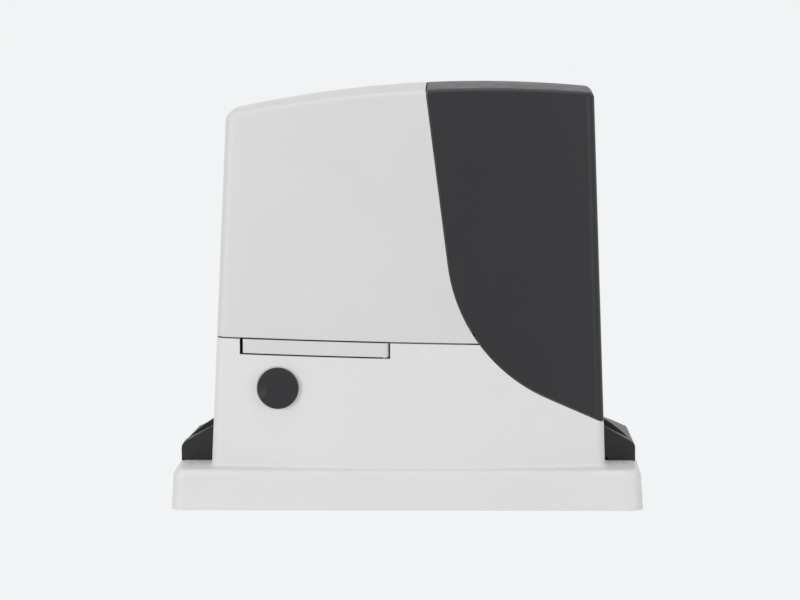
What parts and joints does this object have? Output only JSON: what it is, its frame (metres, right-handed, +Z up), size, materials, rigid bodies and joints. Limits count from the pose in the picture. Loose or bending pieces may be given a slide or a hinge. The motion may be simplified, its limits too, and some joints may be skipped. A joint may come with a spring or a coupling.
{
  "type": "sliding gate motor",
  "caption": "Sliding gate motor on a flanged base, with lift-off side cover, key-locked release handle, worm drive and rack pinion at the back.",
  "frame": {"origin": "centre of the base underside, where it stands on the foundation plate", "axes": "+X to the right seen from the front, +Y from the front towards the gate, +Z up"},
  "size_m": [0.33, 0.195, 0.2948],
  "materials": {
    "light_casting": "satin powder coat, fine texture",
    "light_plastic": "satin moulded",
    "dark_plastic": "satin moulded",
    "cast_aluminium": "die cast",
    "steel": "machined",
    "zinc_steel": "zinc plated",
    "bronze": "machined bronze",
    "brass": "machined",
    "rubber": "moulded",
    "motor_paint": "black enamel",
    "laminations": "stamped",
    "tray_plastic": "moulded",
    "board": "solder mask",
    "terminal_green": "moulded",
    "relay_body": "moulded",
    "capacitor_sleeve": "sleeve",
    "chip_black": "epoxy",
    "display_glass": "tinted",
    "button_cap": "moulded",
    "winding_tape": "wrapped film",
    "terminal_grey": "moulded"
  },
  "bodies": {
    "root": {"lower_body": "light_casting", "upper_cover": "light_plastic", "handle_pin": "steel", "lock_housing": "zinc_steel", "gearcase_rear": "cast_aluminium", "gearcase_front": "cast_aluminium", "bearing_outer_rings": "steel", "bearing_balls": "steel", "worm_bearings": "brass", "shaft_seal": "rubber", "motor_front_shield": "cast_aluminium", "motor_can": "motor_paint", "motor_rear_cap": "motor_paint", "motor_bolts": "zinc_steel", "board_tray": "tray_plastic", "control_board": "board", "terminal_blocks": "terminal_green", "relays": "relay_body", "capacitors": "capacitor_sleeve", "board_chips": "chip_black", "heatsink": "cast_aluminium", "display": "display_glass", "transformer_winding": "winding_tape", "transformer_bracket": "zinc_steel", "transformer_fixing": "zinc_steel", "mains_terminal": "terminal_grey", "cable_grommet": "rubber", "limit_switch_body": "dark_plastic", "levelling_screws": "zinc_steel", "gearcase_screws": "zinc_steel", "upper_cover_screws": "zinc_steel", "side_cover_screw": "zinc_steel"},
    "side_cover": {"side_cover": "dark_plastic"},
    "handle": {"release_handle": "light_plastic"},
    "yoke": {"release_yoke": "zinc_steel"},
    "lock_disc": {"lock_cover_disc": "dark_plastic"},
    "lock": {"lock_barrel": "brass", "lock_cam": "zinc_steel"},
    "output": {"output_shaft": "steel", "output_pinion": "zinc_steel", "pinion_key": "steel", "pinion_screw": "zinc_steel", "bearing_inner_rings": "steel", "clutch_spring": "steel"},
    "clutch": {"clutch_sleeve": "steel"},
    "wheel": {"worm_wheel": "bronze", "wheel_hub": "steel", "wheel_bush": "brass"},
    "motor": {"worm_shaft": "steel", "motor_rotor": "laminations", "encoder_disc": "chip_black"},
    "limit_lever": {"limit_switch_lever": "zinc_steel", "limit_switch_spring": "steel"},
    "button_up": {"program_button_up": "button_cap"},
    "button_enter": {"program_button_enter": "button_cap"},
    "button_down": {"program_button_down": "button_cap"},
    "fixing_cover_left": {"fixing_cover_left": "dark_plastic"},
    "fixing_cover_right": {"fixing_cover_right": "dark_plastic"}
  },
  "joints": [
    {"name": "side_cover_lift", "type": "slide", "parent": "root", "child": "side_cover", "axis": [0, 0, 1], "range_m": [0, 0.24]},
    {"name": "handle_swing", "type": "hinge", "parent": "root", "child": "handle", "pos_m": [-0.0149, -0.08501, 0.112], "axis": [0, 0, 1], "range_deg": [0, 90]},
    {"name": "yoke_slide", "type": "slide", "parent": "root", "child": "yoke", "axis": [0, -1, 0], "range_m": [0, 0.00707]},
    {"name": "lock_disc_swing", "type": "hinge", "parent": "root", "child": "lock_disc", "pos_m": [-0.0894, -0.08625, 0.09545], "axis": [0, 1, 0], "range_deg": [0, 100]},
    {"name": "lock_turn", "type": "hinge", "parent": "root", "child": "lock", "pos_m": [-0.0894, -0.08625, 0.08465], "axis": [0, -1, 0], "range_deg": [0, 90]},
    {"name": "wheel_spin", "type": "hinge", "parent": "root", "child": "wheel", "pos_m": [0, -0.012, 0.092], "axis": [0, 1, 0], "continuous": true},
    {"name": "output_spin", "type": "hinge", "parent": "root", "child": "output", "pos_m": [0, -0.012, 0.092], "axis": [0, 1, 0], "continuous": true},
    {"name": "clutch_slide", "type": "slide", "parent": "output", "child": "clutch", "axis": [0, -1, 0], "range_m": [0, 0.00707], "deforming": ["clutch_spring"]},
    {"name": "motor_spin", "type": "hinge", "parent": "root", "child": "motor", "pos_m": [0.05, -0.012, 0.2], "axis": [0, 0, 1], "continuous": true},
    {"name": "limit_lever_swing", "type": "hinge", "parent": "root", "child": "limit_lever", "pos_m": [0, 0.048, 0.165], "axis": [0, 0, 1], "range_deg": [-35, 35], "stiffness_Nm_per_rad": 0.05},
    {"name": "side_cap_left_lift", "type": "slide", "parent": "root", "child": "fixing_cover_left", "axis": [-0.2588, 0, 0.9659], "range_m": [0, 0.06]},
    {"name": "side_cap_right_lift", "type": "slide", "parent": "root", "child": "fixing_cover_right", "axis": [0.2588, 0, 0.9659], "range_m": [0, 0.06]},
    {"name": "button_up_press", "type": "slide", "parent": "root", "child": "button_up", "axis": [0, 1, 0], "range_m": [0, 0.0006], "stiffness_N_per_m": 1500},
    {"name": "button_enter_press", "type": "slide", "parent": "root", "child": "button_enter", "axis": [0, 1, 0], "range_m": [0, 0.0006], "stiffness_N_per_m": 1500},
    {"name": "button_down_press", "type": "slide", "parent": "root", "child": "button_down", "axis": [0, 1, 0], "range_m": [0, 0.0006], "stiffness_N_per_m": 1500}
  ],
  "couplings": [
    {"joint": "yoke_slide", "follows": "handle_swing", "m_per_rad": 0.0045016},
    {"joint": "clutch_slide", "follows": "handle_swing", "m_per_rad": 0.0045016},
    {"joint": "output_spin", "follows": "wheel_spin", "ratio": 1},
    {"joint": "motor_spin", "follows": "wheel_spin", "ratio": 32}
  ]
}
